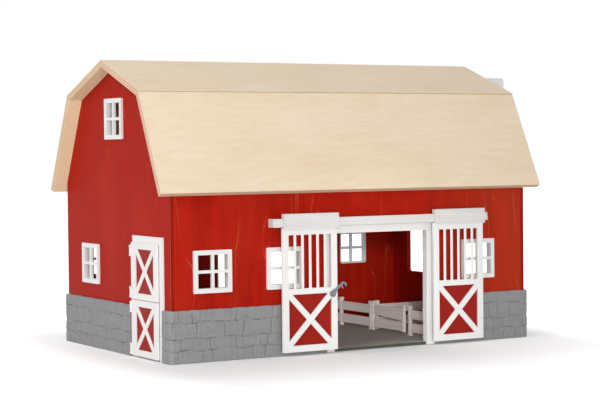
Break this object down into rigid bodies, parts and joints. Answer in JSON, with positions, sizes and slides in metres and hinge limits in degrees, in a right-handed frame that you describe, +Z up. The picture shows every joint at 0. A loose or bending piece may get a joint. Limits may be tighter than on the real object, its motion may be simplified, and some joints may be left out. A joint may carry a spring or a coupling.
{
  "type": "toy barn",
  "caption": "Gambrel-roofed toy barn of stained plywood with sliding front doors, a latch hook, a split stable door, windows, a fenced stall and a hay hoist.",
  "frame": {"origin": "on the floor, under the middle of the walls' footprint", "axes": "+X along the front to the right, +Y to the back, +Z up; the front faces -Y"},
  "size_m": [0.5964, 0.3311, 0.3526],
  "materials": {
    "red_stained_ply": "red-stained plywood, satin",
    "birch_ply": "clear-lacquered birch plywood",
    "pine": "planed pine",
    "stone_grey_plastic": "moulded stone relief, matt",
    "grey_painted_board": "grey-painted board, matt",
    "white_plastic": "moulded white plastic, satin",
    "red_plastic": "moulded red plastic, satin",
    "grey_plastic": "moulded grey plastic, satin",
    "steel_pin": "drawn steel wire"
  },
  "bodies": {
    "barn": {"window_front_1": "white_plastic", "window_front_2": "white_plastic", "window_front_3": "white_plastic", "window_back_1": "white_plastic", "window_back_2": "white_plastic", "window_back_3": "white_plastic", "window_gable": "white_plastic", "window_attic": "white_plastic", "doorway_frame_front": "white_plastic", "doorway_frame_back": "white_plastic", "slide_rail": "white_plastic", "rail_brackets": "white_plastic", "stable_door_frame": "white_plastic", "hoist_arm": "white_plastic", "stall_fence_rear": "white_plastic", "stall_fence_front": "white_plastic", "stall_fence_cross": "white_plastic", "front_wall": "red_stained_ply", "back_wall": "red_stained_ply", "left_gable": "red_stained_ply", "right_gable": "red_stained_ply", "roof_lower_front": "birch_ply", "roof_lower_back": "birch_ply", "roof_upper_front": "birch_ply", "roof_upper_back": "birch_ply", "ridge_batten": "pine", "knee_batten_front": "pine", "knee_batten_back": "pine", "wall_dowels": "pine", "skirt_front_left": "stone_grey_plastic", "skirt_front_right": "stone_grey_plastic", "skirt_back_left": "stone_grey_plastic", "skirt_back_right": "stone_grey_plastic", "floor_panel": "grey_painted_board", "stable_hinge_pins": "steel_pin", "hoist_axle": "steel_pin", "gate_pin": "steel_pin"},
    "left_door": {"left_door_frame": "white_plastic", "left_door_panel": "red_plastic", "left_door_hanger": "white_plastic", "latch_pivot_pin": "grey_plastic"},
    "latch": {"latch_hook": "grey_plastic"},
    "right_door": {"right_door_frame": "white_plastic", "right_door_panel": "red_plastic", "right_door_hanger": "white_plastic", "catch_peg": "white_plastic"},
    "upper_leaf_body": {"upper_leaf": "white_plastic", "upper_leaf_panel": "red_plastic"},
    "lower_leaf_body": {"lower_leaf": "white_plastic", "lower_leaf_panel": "red_plastic"},
    "gate": {"stall_gate": "white_plastic"},
    "pulley": {"hoist_pulley": "white_plastic"}
  },
  "joints": [
    {"name": "left_door_slide", "type": "slide", "parent": "barn", "child": "left_door", "axis": [1, 0, 0], "range_m": [-0.0095, 0.0668]},
    {"name": "right_door_slide", "type": "slide", "parent": "barn", "child": "right_door", "axis": [1, 0, 0], "range_m": [-0.0691, 0.0036]},
    {"name": "latch_pivot", "type": "hinge", "parent": "left_door", "child": "latch", "pos_m": [-0.04515, -0.165, 0.0715], "axis": [0, -1, 0], "range_deg": [-33, 100]},
    {"name": "upper_leaf_hinge", "type": "hinge", "parent": "barn", "child": "upper_leaf_body", "pos_m": [-0.2538, -0.0487, 0.1015], "axis": [0, 0, -1], "range_deg": [0, 172]},
    {"name": "lower_leaf_hinge", "type": "hinge", "parent": "barn", "child": "lower_leaf_body", "pos_m": [-0.2538, -0.0487, 0.035], "axis": [0, 0, -1], "range_deg": [0, 150]},
    {"name": "stall_gate_hinge", "type": "hinge", "parent": "barn", "child": "gate", "pos_m": [0.121, 0.005, 0.02], "axis": [0, 0, 1], "range_deg": [-90, 85]},
    {"name": "hoist_pulley_spin", "type": "hinge", "parent": "barn", "child": "pulley", "pos_m": [0.3215, 0, 0.325], "axis": [0, 1, 0], "continuous": true}
  ]
}
